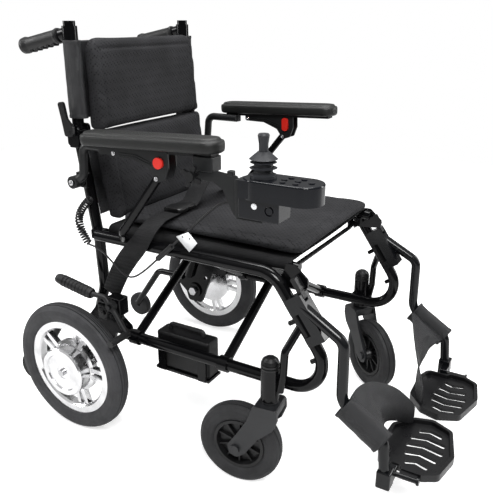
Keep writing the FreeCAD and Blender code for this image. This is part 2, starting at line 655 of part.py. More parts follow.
def hanger():
    """Hook-on clamp turning on the inclined tube, with the leg tube and the footplate's clevis."""
    x = -HANGER_X
    line = [tuple(on_front_tube(408, 22, -6)), (x, -648, 368), (x, -650, 240), (x, -738, 182), (x, -744, 118)]
    parts = [
        front_block(-17, 17, 13.2, 36, -50, 52),
        front_block(-17, 17, -4, 15, 18, 52),
        front_block(-17, 17, -4, 15, -50, -30),
        rod(line, [26, 40, 26], HANGER_TUBE_R),
        box(x - 14, x + 14, -760, -732, 84, 122, 3),
        box(x, -PLATE_HINGE_X + 13, -759, -742, 86, 110, 2),
        cyl(5, (-PLATE_HINGE_X, -745, PLATE_HINGE_Z), (-PLATE_HINGE_X, -806, PLATE_HINGE_Z)),
        cyl(8, (-PLATE_HINGE_X, -801.3, PLATE_HINGE_Z), (-PLATE_HINGE_X, -806, PLATE_HINGE_Z)),
    ]
    body = join(parts)
    axis = [tuple(on_front_tube(383) + ALONG * k) for k in (-70, 70)]
    body = body.cut(cyl(TUBE_R + RUN, *axis))
    slot = front_block(-TUBE_R - RUN, TUBE_R + RUN, -20, 0, -60, 60)
    body = body.cut(slot)
    pivot = on_front_tube(383) + AHEAD * 33 + ALONG * 44
    body = body.cut(front_block(-8.3, 6.3, 22, 40, 33, 60))
    pin = cyl(3, (-SIDE_X - 12, pivot.y, pivot.z), (-SIDE_X + 10, pivot.y, pivot.z))
    return max(join([body, pin]).Solids, key=lambda s: s.Volume)


def release_lever():
    """Ribbed thumb lever in the clamp's upper end."""
    pivot = on_front_tube(383) + AHEAD * 33 + ALONG * 44
    body = join([front_block(-8, 6, 29, 37, 38, 70), front_block(-11, 9, 31, 41, 56, 84)])
    return body.cut(cyl(3 + RUN, (-SIDE_X - 14, pivot.y, pivot.z), (-SIDE_X + 14, pivot.y, pivot.z)))


def footplate():
    """Moulded plate with a raised rim, hinge barrel and curved slots."""
    z, mid = PLATE_HINGE_Z, -784
    outline = [(-192, -716), (-150, -703), (-66, -706), (-24, -742), (-12, -782), (-34, -828),
               (-118, -850.1), (-186, -836),
               (-203, -806), (-203, -766), (-192, -762)]
    inner = [(-186, -722), (-148, -711), (-69, -713), (-31, -746), (-20, -782), (-39, -822), (-118, -842),
             (-182, -829),
             (-196, -803), (-196, -770), (-186, -766)]
    deck = plate([(x, y, z - 8) for x, y in outline], 16, (0, 0, 16))
    deck = deck.cut(plate([(x, y, z - 1) for x, y in inner], 14, (0, 0, 20)))
    for xs, reach in ((-168, 26), (-140, 36), (-112, 42), (-84, 40), (-56, 28)):
        slot = plate([(xs - 6, mid - reach, z - 20), (xs + 7, mid - reach, z - 20), (xs + 15, mid, z - 20),
                      (xs + 7, mid + reach * 0.8, z - 20), (xs - 6, mid + reach * 0.8, z - 20),
                      (xs + 3, mid, z - 20)],
                     4, (0, 0, 40))
        deck = deck.cut(slot)
    barrel = cyl(11, (-PLATE_HINGE_X, -761, z), (-PLATE_HINGE_X, -801, z))
    web = box(-PLATE_HINGE_X, -196, -800, -766, z - 7, z + 5)
    return join([deck, barrel, web]).cut(cyl(5 + RUN, (-PLATE_HINGE_X, -740, z), (-PLATE_HINGE_X, -810, z)))


def heel_loop():
    """Fabric sleeve on the leg tube with a band that runs behind the heel and narrows to the plate."""
    x = -HANGER_X
    lower_leg = [(x, -649, 300), (x, -650, 240), (x, -738, 182), (x, -744, 118)]
    sleeve = rod(lower_leg, [40, 26], 24)
    start, end = V(x, -660, 233.4), V(x, -735, 184)
    lead = (end - start).normalize()
    slab = Part.makeCylinder(60, (end - start).Length, start, lead)
    sleeve = sleeve.common(slab).cut(rod(lower_leg, [40, 26], HANGER_TUBE_R + 1.2))
    sections = []
    for at, along, height in HEEL_BAND:
        up = V(*along).normalize() * (height / 2)
        thick = V(1.3, 1.3, 0) if at[0] < -60 else V(0, 1.6, 0)
        middle = V(*at)
        pts = [middle - up - thick, middle + up - thick, middle + up + thick, middle - up + thick]
        sections.append(Part.makePolygon(pts + [pts[0]]))
    band = Part.makeLoft(sections, True, False)
    return [sleeve, band]


# centre, direction of the width and width of the heel band from the sleeve to the plate's inner corner
HEEL_BAND = [((-214.5, -687, 222), (0, -0.5, 0.87), 86), ((-180, -690, 220), (0, -0.35, 0.94), 84),
             ((-128, -696, 186), (0, -0.2, 0.98), 78), ((-76, -712, 152), (0, -0.05, 1), 62),
             ((-40, -737, 132), (0, 0, 1), 38)]


# ------------------------------------------------------------------ brakes, anti-tip wheels, battery
def brake_lever():
    """Lever on the tyre brake: pivot eye, shoe arm, shoe and ribbed grip."""
    py, pz = -108.0, 328.0
    parts = [
        cyl(12, (-278, py, pz), (-265, py, pz)),
        rod([(-272, py, pz), (-274, py + 16, pz + 20), (-288, py + 38, pz + 28), (-288, py + 60, pz + 32)],
            12, 6),
        rod([(-272, py, pz), (-274, -150, 270)], [], 6),
        cyl(8, (-330, -150, 270), (-270, -150, 270)),
        spun([(0, 9), (0, 11), (4, 12.5), (96, 12), (104, 10), (107, 0), (0, 0)], (-288, py + 38, pz + 28),
             (0, 0.985, 0.17)),
    ]
    for k in range(8):
        at = V(-288, py + 38, pz + 28) + V(0, 0.985, 0.17) * (12 + 10 * k)
        parts.append(cyl(13.3, tuple(at), tuple(at + V(0, 3.9, 0.68))))
    return join(parts).cut(cyl(6 + RUN, (-290, py, pz), (-255, py, pz)))


def anti_tip_wheel():
    return spun([(-10, 6 + RUN), (-10, 33), (-7, 37), (0, 38), (7, 37), (10, 33), (10, 6 + RUN)],
                (-226, 232, 52))


def battery():
    """Slim removable pack with a folding-handle recess, on runners beside the lower rail."""
    body = box(-211.5, -168, -326, -184, 172, 262, 6)
    handle = rod([(-190, -300, 258), (-190, -300, 276), (-190, -210, 276), (-190, -210, 258)], 8, 5)
    return join([body, handle])


def battery_tray():
    """Shelf and hanging straps that carry the pack, welded to the lower rail."""
    shelf = box(-216, -166, -328, -182, 166, 171.7)
    straps = [box(-217.5, -212, y, y + 20, 166, 240) for y in (-320, -210)]
    hooks = [box(-228, -212, y, y + 20, 223, 240) for y in (-320, -210)]
    return join([shelf] + straps + hooks)


# ------------------------------------------------------------------ cords
LEAD = [(-250, -452.1, 607), (-250, -428, 609.5), (-252, -400, 607), (-254, -372, 592), (-250, -268, 493)]
TAIL = [(-250, -230, 458), (-250, -192, 421), (-247, -146, 392), (-244, -109, 412), (-244, -62, 450),
        (-240, -34, 450)]
COIL = [(-240, -28, 450), (-240, -8, 476), (-240, 0, 508), (-236, -16, 540), (-230, -38, 560)]


def cord(points, r):
    """Cable or coil along a route, its bends as wide as the shorter neighbouring run allows."""
    pts = [V(*p) for p in points]
    radii = []
    for i in range(1, len(pts) - 1):
        a, b = pts[i - 1] - pts[i], pts[i + 1] - pts[i]
        half = (math.pi - a.getAngle(b)) / 2
        radii.append(0.45 * min(a.Length, b.Length) / math.tan(half))
    print("cord bend radii", [round(v, 1) for v in radii])
    return rod(points, radii, r)


# ------------------------------------------------------------------ write every node
frame = side_frame()
tray = battery_tray()
emit("side_frame_right", frame.fuse(tray).removeSplitter())
emit("side_frame_left", left_of(frame))
emit_pair("frame_fittings", *fittings())
emit_pair("motor_mount", motor_mount())
emit_pair("drive_tyre", drive_tyre())
emit_pair("drive_wheel", drive_wheel())
for label, side in (("right", -1), ("left", 1)):
    emit("caster_fork_" + label, turned(caster_fork(), side))
    emit("caster_tyre_" + label, turned(caster_tyre(), side))
    emit("caster_hub_" + label, turned(caster_hub(), side))
emit("brace_bars_a", join([brace_bars(-1)] + spreader_lug()))
emit("brace_bars_b", brace_bars(1))
emit("brace_pivots", *brace_pivots())
emit("front_spreader", front_spreader())
emit_pair("cane", cane())
emit_pair("push_grip", push_grip())
emit_pair("cane_sleeve", cane_sleeve())
emit_pair("back_lever", back_lever())
pad_upper, pad_lower = back_pads()
emit("back_pad_upper", pad_upper)
emit("back_pad_lower", pad_lower)
sling, cushion, belt = seat()
emit("seat_sling", sling)
emit("seat_cushion", cushion)
emit("lap_belt", *belt)
emit("arm_frame_right", arm_frame(True))
emit("arm_frame_left", left_of(arm_frame(False)))
emit_pair("arm_pad", arm_pad())
emit_pair("release_button", release_button())
case, boot, knob, keys = controller()
emit("controller_case", case)
emit("joystick_boot", boot)
emit("joystick_knob", knob)
emit("keypad_buttons", *keys)
emit("wing_knob", wing_knob())
emit_pair("hanger", hanger())
emit_pair("release_lever", release_lever())
emit_pair("footplate", footplate())
emit_pair("heel_loop", *heel_loop())
emit_pair("brake_lever", brake_lever())
emit_pair("anti_tip_wheel", anti_tip_wheel())
emit("battery", battery())
emit("controller_lead", cord(LEAD, CORD_R), cord(TAIL, COIL_WIRE_R))
emit("lead_connector", cyl(6, LEAD[-1], TAIL[0]))
emit("coiled_cord", cord(COIL, COIL_R))
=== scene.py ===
import math

import bmesh
import bpy
from mathutils import Matrix, Vector, noise


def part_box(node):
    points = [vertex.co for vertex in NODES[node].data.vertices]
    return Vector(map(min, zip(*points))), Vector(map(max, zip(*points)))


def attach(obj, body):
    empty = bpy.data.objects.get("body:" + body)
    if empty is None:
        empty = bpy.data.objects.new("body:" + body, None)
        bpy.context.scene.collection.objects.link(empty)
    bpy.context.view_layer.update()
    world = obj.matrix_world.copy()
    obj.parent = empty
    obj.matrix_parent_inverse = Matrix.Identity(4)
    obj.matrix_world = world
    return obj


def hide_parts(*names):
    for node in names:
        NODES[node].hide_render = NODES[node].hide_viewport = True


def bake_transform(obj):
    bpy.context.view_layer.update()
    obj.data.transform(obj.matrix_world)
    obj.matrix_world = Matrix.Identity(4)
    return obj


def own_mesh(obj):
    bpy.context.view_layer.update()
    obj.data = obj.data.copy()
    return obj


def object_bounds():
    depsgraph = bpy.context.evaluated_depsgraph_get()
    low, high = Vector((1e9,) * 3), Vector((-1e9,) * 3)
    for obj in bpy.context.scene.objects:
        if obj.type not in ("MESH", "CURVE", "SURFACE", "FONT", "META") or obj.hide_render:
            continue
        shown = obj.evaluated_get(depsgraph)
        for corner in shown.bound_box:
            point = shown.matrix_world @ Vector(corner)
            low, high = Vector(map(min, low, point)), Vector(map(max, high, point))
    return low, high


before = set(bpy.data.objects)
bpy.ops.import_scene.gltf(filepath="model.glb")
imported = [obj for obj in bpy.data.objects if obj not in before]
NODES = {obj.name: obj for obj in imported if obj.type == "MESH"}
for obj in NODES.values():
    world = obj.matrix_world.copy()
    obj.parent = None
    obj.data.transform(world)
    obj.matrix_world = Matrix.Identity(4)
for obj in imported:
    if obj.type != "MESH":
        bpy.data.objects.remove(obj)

CAD_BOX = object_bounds()
SCENE = bpy.context.scene
SIDES = (("right", -1), ("left", 1))
AXLE_Y = (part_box("drive_wheel_right")[0].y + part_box("drive_wheel_right")[1].y) / 2


def mm(x, y, z):
    """A point given in millimetres, with y counted from the drive axle, as metres in the frame."""
    return Vector((x / 1000, y / 1000 + AXLE_Y, z / 1000))


# ------------------------------------------------------------------ camera and light
def build_camera():
    data = bpy.data.cameras.new("camera")
    data.lens = 44.86
    data.sensor_width = 36
    data.clip_start, data.clip_end = 0.01, 50
    cam = bpy.data.objects.new("camera", data)
    SCENE.collection.objects.link(cam)
    cam.location = (-1.2148, -0.7108, 0.9307)
    heading, pitch = math.radians(60.05), math.radians(20.36)
    look = Vector((math.sin(heading) * math.cos(pitch), math.cos(heading) * math.cos(pitch),
                   -math.sin(pitch)))
    cam.rotation_mode = "QUATERNION"
    cam.rotation_quaternion = look.to_track_quat("-Z", "Y")
    SCENE.camera = cam


def area_light(name, at, to, size, power):
    data = bpy.data.lights.new(name, "AREA")
    data.shape = "RECTANGLE"
    data.size, data.size_y = size
    data.energy = power
    lamp = bpy.data.objects.new(name, data)
    SCENE.collection.objects.link(lamp)
    lamp.location = at
    lamp.rotation_mode = "QUATERNION"
    lamp.rotation_quaternion = (Vector(to) - Vector(at)).to_track_quat("-Z", "Y")


def build_light():
    """White surroundings as the camera sees them, dimmer towards the horizon as the object sees them."""
    world = bpy.data.worlds.new("studio")
    SCENE.world = world
    world.use_nodes = True
    tree = world.node_tree
    seen = tree.nodes["Background"]
    seen.inputs[0].default_value = (1, 1, 1, 1)
    lit = tree.nodes.new("ShaderNodeBackground")
    ramp = tree.nodes.new("ShaderNodeValToRGB")
    split = tree.nodes.new("ShaderNodeSeparateXYZ")
    path = tree.nodes.new("ShaderNodeLightPath")
    mix = tree.nodes.new("ShaderNodeMixShader")
    tree.links.new(tree.nodes.new("ShaderNodeTexCoord").outputs["Generated"], split.inputs[0])
    tree.links.new(split.outputs["Z"], ramp.inputs[0])
    tree.links.new(ramp.outputs[0], lit.inputs[0])
    for element, (at, level) in zip(ramp.color_ramp.elements, ((0.05, 0.1), (0.75, 0.62))):
        element.position = at
        element.color = (level, level, level, 1)
    tree.links.new(path.outputs["Is Camera Ray"], mix.inputs[0])
    tree.links.new(lit.outputs[0], mix.inputs[1])
    tree.links.new(seen.outputs[0], mix.inputs[2])
    tree.links.new(mix.outputs[0], tree.nodes["World Output"].inputs[0])
    area_light("key", (-1.6, -1.2, 2.4), (0, 0, 0.4), (0.9, 0.9), 66)
    area_light("overhead", (0.3, 0.1, 2.8), (0, 0, 0.3), (2.0, 0.7), 66)
    area_light("fill", (1.8, -1.8, 1.2), (0, 0, 0.4), (0.5, 1.8), 24)
    area_light("rear", (-1.0, 2.2, 1.6), (0, 0, 0.5), (0.5, 1.6), 30)
    SCENE.view_settings.view_transform = "Standard"


# ------------------------------------------------------------------ materials
class Nodes:
    """Short hand for one material's node tree."""

    def __init__(self, name):
        self.material = bpy.data.materials.new(name)
        self.material.use_nodes = True
        self.tree = self.material.node_tree
        self.shader = self.tree.nodes["Principled BSDF"]
        self.coords = self.tree.nodes.new("ShaderNodeTexCoord").outputs["Object"]

    def add(self, kind, **inputs):
        node = self.tree.nodes.new(kind)
        for key, value in inputs.items():
            self.put(node.inputs[key.replace("_", " ")], value)
        return node

    def put(self, socket, value):
        if isinstance(value, bpy.types.NodeSocket):
            self.tree.links.new(value, socket)
        else:
            socket.default_value = value

    def noise(self, scale, detail=3.0, rough=0.55):
        node = self.add("ShaderNodeTexNoise", Vector=self.coords, Scale=scale, Detail=detail, Roughness=rough)
        return node.outputs["Fac"]

    def ramp(self, fac, stops):
        node = self.tree.nodes.new("ShaderNodeValToRGB")
        self.put(node.inputs["Fac"], fac)
        ramp = node.color_ramp
        while len(ramp.elements) < len(stops):
            ramp.elements.new(0.5)
        for element, (at, value) in zip(ramp.elements, stops):
            element.position = at
            element.color = value if len(value) == 4 else (*value, 1)
        return node.outputs["Color"]

    def math(self, kind, a, b=None):
        node = self.tree.nodes.new("ShaderNodeMath")
        node.operation = kind
        self.put(node.inputs[0], a)
        if b is not None:
            self.put(node.inputs[1], b)
        return node.outputs[0]

    def bump(self, height, strength, distance, under=None):
        node = self.add("ShaderNodeBump", Height=height, Strength=strength, Distance=distance)
        if under is not None:
            self.put(node.inputs["Normal"], under)
        self.put(self.shader.inputs["Normal"], node.outputs["Normal"])
        return node.outputs["Normal"]

    def set(self, **values):
        for key, value in values.items():
            name = {"base": "Base Color", "metal": "Metallic", "rough": "Roughness", "coat": "Coat Weight",
                    "coat_rough": "Coat Roughness", "sheen": "Sheen Weight", "spec": "Specular IOR Level",
                    "sheen_rough": "Sheen Roughness"}[key]
            self.put(self.shader.inputs[name], value)
        return self


def shade(colour, factor):
    return tuple(min(1.0, c * factor) for c in colour)


def plain_finish(name, colour, rough, metal=0.0, vary=0.25, grain=900.0, grain_depth=0.00004,
                 rough_span=0.08, coat=0.0, spec=0.32):
    """Moulded, painted or cast surface: slow colour and gloss variation with a fine grain."""
    patch = 9.0
    m = Nodes(name)
    slow = m.noise(patch, 4)
    m.set(base=m.ramp(slow, [(0.3, shade(colour, 1 - vary)), (0.72, shade(colour, 1 + vary))]),
          rough=m.ramp(m.noise(patch * 3.1, 5),
                       [(0.3, (rough - rough_span,) * 3), (0.7, (rough + rough_span,) * 3)]),
          metal=metal, spec=spec)
    if coat:
        m.set(coat=coat, coat_rough=0.06)
    m.bump(m.noise(grain, 2), 0.5, grain_depth)
    return m.material


def turned_metal(name, colour, rough, centre):
    """Cast and polished metal with faint lathe rings about the wheel's axle."""
    m = Nodes(name)
    split = m.add("ShaderNodeSeparateXYZ", Vector=m.coords)
    dy = m.math("SUBTRACT", split.outputs["Y"], centre[0])
    dz = m.math("SUBTRACT", split.outputs["Z"], centre[1])
    radius = m.math("SQRT", m.math("ADD", m.math("MULTIPLY", dy, dy), m.math("MULTIPLY", dz, dz)))
    rings = m.math("SINE", m.math("MULTIPLY", radius, 4200.0))
    cloud = m.noise(26, 5)
    m.set(base=m.ramp(cloud, [(0.25, shade(colour, 0.72)), (0.7, colour)]), metal=1.0,
          rough=m.ramp(m.noise(60, 4), [(0.3, (rough - 0.07,) * 3), (0.7, (rough + 0.1,) * 3)]))
    first = m.bump(rings, 0.25, 0.00003)
    m.bump(m.noise(380, 3), 0.35, 0.00012, first)
    return m.material


def spacer_mesh(name, colour, pitch):
    """Knitted spacer mesh: small holes in diagonal rows over a soft base, the holes coloured darker as
    painted shade.
    """
    m = Nodes(name)
    turn = m.add("ShaderNodeMapping", Vector=m.coords)
    turn.inputs["Rotation"].default_value = (math.radians(18), math.radians(45), math.radians(45))
    cells = m.add("ShaderNodeTexVoronoi", Vector=turn.outputs["Vector"], Scale=1 / pitch, Randomness=0.12)
    hole = m.ramp(cells.outputs["Distance"], [(0.12, (0, 0, 0)), (0.42, (1, 1, 1))])
    wave = m.add("ShaderNodeTexWave", Vector=turn.outputs["Vector"], Scale=0.5 / pitch, Distortion=0.6,
                 Detail=1)
    cloud = m.noise(14, 4)
    tint = m.ramp(cloud, [(0.3, shade(colour, 0.8)), (0.7, shade(colour, 1.3))])
    mixed = m.add("ShaderNodeMix")
    mixed.data_type = "RGBA"
    m.put(mixed.inputs[0], hole)
    # painted shade: the hole centres are coloured at about a third of the mesh colour, standing in for the
    # shade inside the holes
    m.put(mixed.inputs[6], (*shade(colour, 0.35), 1))
    m.put(mixed.inputs[7], tint)
    m.set(base=mixed.outputs[2], rough=m.ramp(hole, [(0, (0.95,) * 3), (1, (0.72,) * 3)]), spec=0.12)
    first = m.bump(hole, 0.55, 0.0012)
    m.bump(wave.outputs["Fac"], 0.3, 0.0006, first)
    return m.material


def woven(name, colour, pitch, rough=0.75, spec=0.15, vary=0.3, depth=0.0003):
    """Woven cloth or webbing: crossed threads over soft, slow unevenness."""
    m = Nodes(name)
    heights = []
    for axis in ("X", "Y", "Z"):
        wave = m.add("ShaderNodeTexWave", Vector=m.coords, Scale=0.32 / pitch, Distortion=0.4, Detail=1)
        wave.bands_direction = axis
        heights.append(wave.outputs["Fac"])
    weave = m.math("MULTIPLY", m.math("ADD", heights[0], heights[1]), m.math("ADD", heights[2], 0.6))
    cloud = m.noise(22, 5)
    m.set(base=m.ramp(cloud, [(0.28, shade(colour, 1 - vary)), (0.72, shade(colour, 1 + vary))]),
          rough=m.ramp(weave, [(0.2, (rough + 0.1,) * 3), (1.0, (rough - 0.08,) * 3)]), spec=spec)
    first = m.bump(weave, 0.6, depth)
    m.bump(m.noise(70, 4), 0.35, 0.0015, first)
    return m.material


def leather(name, colour, rough=0.5):
    """Leather-grained polyurethane skin."""
    m = Nodes(name)
    grain = m.add("ShaderNodeTexVoronoi", Vector=m.coords, Scale=520, Randomness=1.0)
    grain.feature = "DISTANCE_TO_EDGE"
    cell = m.ramp(grain.outputs["Distance"], [(0.0, (0, 0, 0)), (0.22, (1, 1, 1))])
    cloud = m.noise(16, 4)
    m.set(base=m.ramp(cloud, [(0.3, shade(colour, 0.8)), (0.7, shade(colour, 1.25))]),
          rough=m.ramp(cell, [(0, (rough + 0.15,) * 3), (1, (rough - 0.04,) * 3)]), spec=0.38)
    first = m.bump(cell, 0.5, 0.00022)
    m.bump(m.noise(1400, 2), 0.2, 0.00008, first)
    return m.material


def tyre_rubber(name, colour):
    m = Nodes(name)
    dust = m.noise(18, 6, 0.65)
    m.set(base=m.ramp(dust, [(0.3, shade(colour, 0.75)), (0.75, shade(colour, 1.45))]),
          rough=m.ramp(m.noise(45, 4), [(0.3, (0.5,) * 3), (0.7, (0.7,) * 3)]), spec=0.25)
    m.bump(m.noise(1100, 3), 0.5, 0.0002)
    return m.material


def build_materials():
    wheel_centre = (AXLE_Y, (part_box("drive_wheel_right")[0].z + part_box("drive_wheel_right")[1].z) / 2)
    return {
        "frame_paint": plain_finish("gloss_black_powder_coat", (0.0026, 0.0026, 0.003), 0.14, vary=0.15,
                                    grain=260, grain_depth=0.00006, rough_span=0.04, spec=0.2),
        "fork_paint": plain_finish("charcoal_satin_paint", (0.013, 0.0135, 0.015), 0.36, grain=400, spec=0.4),
        "clamp_paint": plain_finish("clamp_black", (0.0042, 0.0045, 0.0052), 0.19, vary=0.15, grain=300,
                                    rough_span=0.04, spec=0.27),
        "steel": plain_finish("bright_zinc", (0.52, 0.52, 0.53), 0.28, metal=1.0, grain=600),
        "alloy": turned_metal("polished_cast_alloy", (0.86, 0.86, 0.87), 0.17, wheel_centre),
        "tyre": tyre_rubber("dark_grey_tyre_rubber", (0.034, 0.034, 0.0362)),
        "caster_tyre": tyre_rubber("black_tyre_rubber", (0.02, 0.02, 0.0212)),
        "roller": plain_finish("roller_rubber", (0.014, 0.014, 0.015), 0.7),
        "grip_rubber": plain_finish("grip_rubber", (0.008, 0.008, 0.0085), 0.5, grain=700,
                                    grain_depth=0.00012),
        "boot_rubber": plain_finish("boot_rubber", (0.022, 0.023, 0.026), 0.48, grain=800,
                                    grain_depth=0.00008),
        "black_plastic": plain_finish("black_plastic", (0.006, 0.006, 0.0065), 0.36, grain=900),
        "battery_plastic": plain_finish("battery_plastic", (0.004, 0.004, 0.0045), 0.45, grain=700,
                                        grain_depth=0.0001),
        "plate_plastic": plain_finish("footplate_plastic", (0.0055, 0.0055, 0.006), 0.32, grain=420,
                                      grain_depth=0.00015),
        "arm_plastic": plain_finish("arm_bracket_plastic", (0.008, 0.0085, 0.009), 0.42, grain=700,
                                    grain_depth=0.00008),
        "case_plastic": plain_finish("controller_gloss_plastic", (0.0035, 0.004, 0.0058), 0.11, vary=0.2,
                                     grain=200, grain_depth=0.00002, rough_span=0.03, spec=0.3),
        "key_plastic": plain_finish("key_plastic", (0.008, 0.0085, 0.011), 0.3, grain=900),
        "red_plastic": plain_finish("red_button_plastic", (0.62, 0.018, 0.01), 0.28, vary=0.12, coat=0.5),
        "mesh": spacer_mesh("black_spacer_mesh", (0.0195, 0.0195, 0.021), 0.0058),
        "sling": woven("black_nylon", (0.0055, 0.0055, 0.006), 0.0016),
        "sleeve": woven("charcoal_satin_nylon", (0.017, 0.0172, 0.0185), 0.0011, rough=0.46, spec=0.28,
                        vary=0.2),
        "webbing": woven("belt_webbing", (0.0095, 0.0095, 0.0102), 0.0022, rough=0.6, depth=0.0006),
        "pad_leather": leather("arm_pad_leather_grain", (0.0065, 0.0068, 0.0065), 0.42),
        "cable": plain_finish("cable_skin", (0.0075, 0.0075, 0.008), 0.4, grain=500),
        "white_plastic": plain_finish("white_plastic", (0.78, 0.79, 0.8), 0.35, vary=0.04),
    }


MATERIALS = build_materials()


# ------------------------------------------------------------------ mesh helpers
def new_piece(name, bm, material, body=None, replaces=()):
    """Link a finished bmesh as one piece of the model."""
    bmesh.ops.recalc_face_normals(bm, faces=bm.faces)
    data = bpy.data.meshes.new(name)
    bm.to_mesh(data)
    bm.free()
    obj = bpy.data.objects.new(name, data)
    SCENE.collection.objects.link(obj)
    data.materials.append(MATERIALS[material])
    for face in data.polygons:
        face.use_smooth = True
    if body:
        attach(obj, body)
    if replaces:
        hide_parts(*replaces)
    return obj


def frames_along(points):
    """Tangent, side and up at each point of a line, turning as little as possible."""
    out = []
    up = Vector((0, 0, 1))
    count = len(points)
    for i in range(count):
        tangent = (points[min(i + 1, count - 1)] - points[max(i - 1, 0)]).normalized()
        if abs(tangent.dot(up)) > 0.98 and not out:
            up = Vector((0, 1, 0))
        side = tangent.cross(up).normalized()
        up = side.cross(tangent).normalized()
        out.append((tangent, side, up))
    return out


def loft(bm, rings, close_ends=True, closed_loop=False):
    """Skin rings of points into a tube."""
    made = [[bm.verts.new(p) for p in ring] for ring in rings]
    pairs = list(zip(made, made[1:]))
    if closed_loop:
        pairs.append((made[-1], made[0]))
    for a, b in pairs:
        n = len(a)
        for k in range(n):
            bm.faces.new((a[k], a[(k + 1) % n], b[(k + 1) % n], b[k]))
    if close_ends and not closed_loop:
        bm.faces.new(list(reversed(made[0])))
        bm.faces.new(made[-1])
    return made


def skin_rows(bm, rows):
    """Faces between rows of vertices, as one open sheet."""
    for a, b in zip(rows, rows[1:]):
        for k in range(len(a) - 1):
            bm.faces.new((a[k], a[k + 1], b[k + 1], b[k]))


def tube_along(bm, points, radius, sides):
    """Round tube along a line."""
    rings = []
    turns = [2 * math.pi * k / sides for k in range(sides)]
    for point, (_, side, up) in zip(points, frames_along(points)):
        rings.append([point + side * (radius * math.cos(a)) + up * (radius * math.sin(a)) for a in turns])
    return loft(bm, rings)


def lathe(bm, profile, centre, axis, steps):
    """Turn a closed loop of (height, radius) points about an axis."""
    turn = Vector(axis).to_track_quat("Z", "Y").to_matrix()
    rings = []
    for k in range(steps):
        a = 2 * math.pi * k / steps
        rings.append([Vector(centre) + turn @ Vector((r * math.cos(a), r * math.sin(a), height))
                      for height, r in profile])
    return loft(bm, rings, close_ends=False, closed_loop=True)


def smooth_line(points, steps):
    """Evenly smoothed points through the given ones (Catmull-Rom)."""
    pts = [points[0] * 2 - points[1]] + list(points) + [points[-1] * 2 - points[-2]]
    out = []
    for i in range(1, len(pts) - 2):
        a, b, c, d = pts[i - 1:i + 3]
        for k in range(steps):
            t = k / steps
            line = 2 * b + (c - a) * t
            bend = (2 * a - 5 * b + 4 * c - d) * t * t
            twist = (3 * b - a - 3 * c + d) * t ** 3
            out.append(0.5 * (line + bend + twist))
    out.append(points[-1].copy())
    return out


def strap(bm, points, width_axis, width, thickness):
    """Flat band along a line, its width lying along one axis."""
    rings = []
    for point, (tangent, _, _) in zip(points, frames_along(points)):
        across = Vector(width_axis)
        across = (across - tangent * across.dot(tangent)).normalized()
        out = tangent.cross(across).normalized()
        w, t = width / 2, thickness / 2
        ring = [(-w, -t * 0.6), (-w + t, -t), (0, -t), (w - t, -t), (w, -t * 0.6),
                (w, t * 0.6), (w - t, t), (0, t), (-w + t, t), (-w, t * 0.6)]
        rings.append([point + across * u + out * v for u, v in ring])
    return loft(bm, rings)


def evaluated_copy(obj, name):
    """A new mesh object with the modifiers of another applied."""
    graph = bpy.context.evaluated_depsgraph_get()
    data = bpy.data.meshes.new_from_object(obj.evaluated_get(graph))
    made = bpy.data.objects.new(name, data)
    SCENE.collection.objects.link(made)
    return made


def add_modifier(obj, kind, **values):
    modifier = obj.modifiers.new(kind.lower(), kind)
    for key, value in values.items():
        setattr(modifier, key, value)
    return modifier


def stretch_to(obj, box):
    """Scale a mesh in its own box so that it fills another."""
    low = [min(v.co[i] for v in obj.data.vertices) for i in range(3)]
    high = [max(v.co[i] for v in obj.data.vertices) for i in range(3)]
    for vertex in obj.data.vertices:
        for i in range(3):
            t = (vertex.co[i] - low[i]) / (high[i] - low[i])
            vertex.co[i] = box[0][i] + t * (box[1][i] - box[0][i])


def inflate(name, source, material, voxel, cap, grow=(0, 0, 0)):
    """Padded shape: the CAD solid, drawn in, remeshed, puffed by cloth pressure and held to a cap."""
    shrink, pressure, steps = 0.003, 4.0, 20
    data = NODES[source].data.copy()
    lo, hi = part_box(source)
    centre, half = (lo + hi) / 2, (hi - lo) / 2
    for vertex in data.vertices:
        for i in range(3):
            vertex.co[i] = centre[i] + (vertex.co[i] - centre[i]) * (half[i] - shrink) / half[i]
    start = bpy.data.objects.new(name + "_start", data)
    SCENE.collection.objects.link(start)
    add_modifier(start, "REMESH", mode="VOXEL", voxel_size=voxel)
    pad = evaluated_copy(start, name)
    bpy.data.objects.remove(start)
    pad.data.materials.clear()
    rest = [v.co.copy() for v in pad.data.vertices]
    cloth = pad.modifiers.new("cloth", "CLOTH")
    cloth.settings.use_pressure = True
    cloth.settings.uniform_pressure_force = pressure
    cloth.settings.effector_weights.gravity = 0
    cloth.settings.quality = 4
    cloth.collision_settings.use_collision = False
    cloth.point_cache.frame_start, cloth.point_cache.frame_end = 1, steps
    for k in range(1, steps + 1):
        SCENE.frame_set(k)
    graph = bpy.context.evaluated_depsgraph_get()
    moved = [v.co.copy() for v in pad.evaluated_get(graph).data.vertices]
    pad.modifiers.clear()
    for vertex, before, after in zip(pad.data.vertices, rest, moved):
        shift = after - before
        if shift.length > cap:
            shift *= cap / shift.length
        vertex.co = before + shift
    SCENE.frame_set(1)
    add_modifier(pad, "SMOOTH", factor=0.5, iterations=4)
    add_modifier(pad, "SUBSURF", levels=1, render_levels=1)
    final = evaluated_copy(pad, name + "_final")
    bpy.data.objects.remove(pad)
    final.name = name
    stretch_to(final, [lo - Vector(grow), hi + Vector(grow)])
    final.data.materials.clear()
    final.data.materials.append(MATERIALS[material])
    for face in final.data.polygons:
        face.use_smooth = True
    return final


def press_line(obj, distance, depth, width):
    """Push points inwards near a sewn line; distance(co) is how far a point is from it."""
    obj.data.update()
    normals = [v.normal.copy() for v in obj.data.vertices]
    for vertex, normal in zip(obj.data.vertices, normals):
        d = distance(vertex.co)
        if d < width:
            vertex.co -= normal * depth * (0.5 + 0.5 * math.cos(math.pi * d / width))


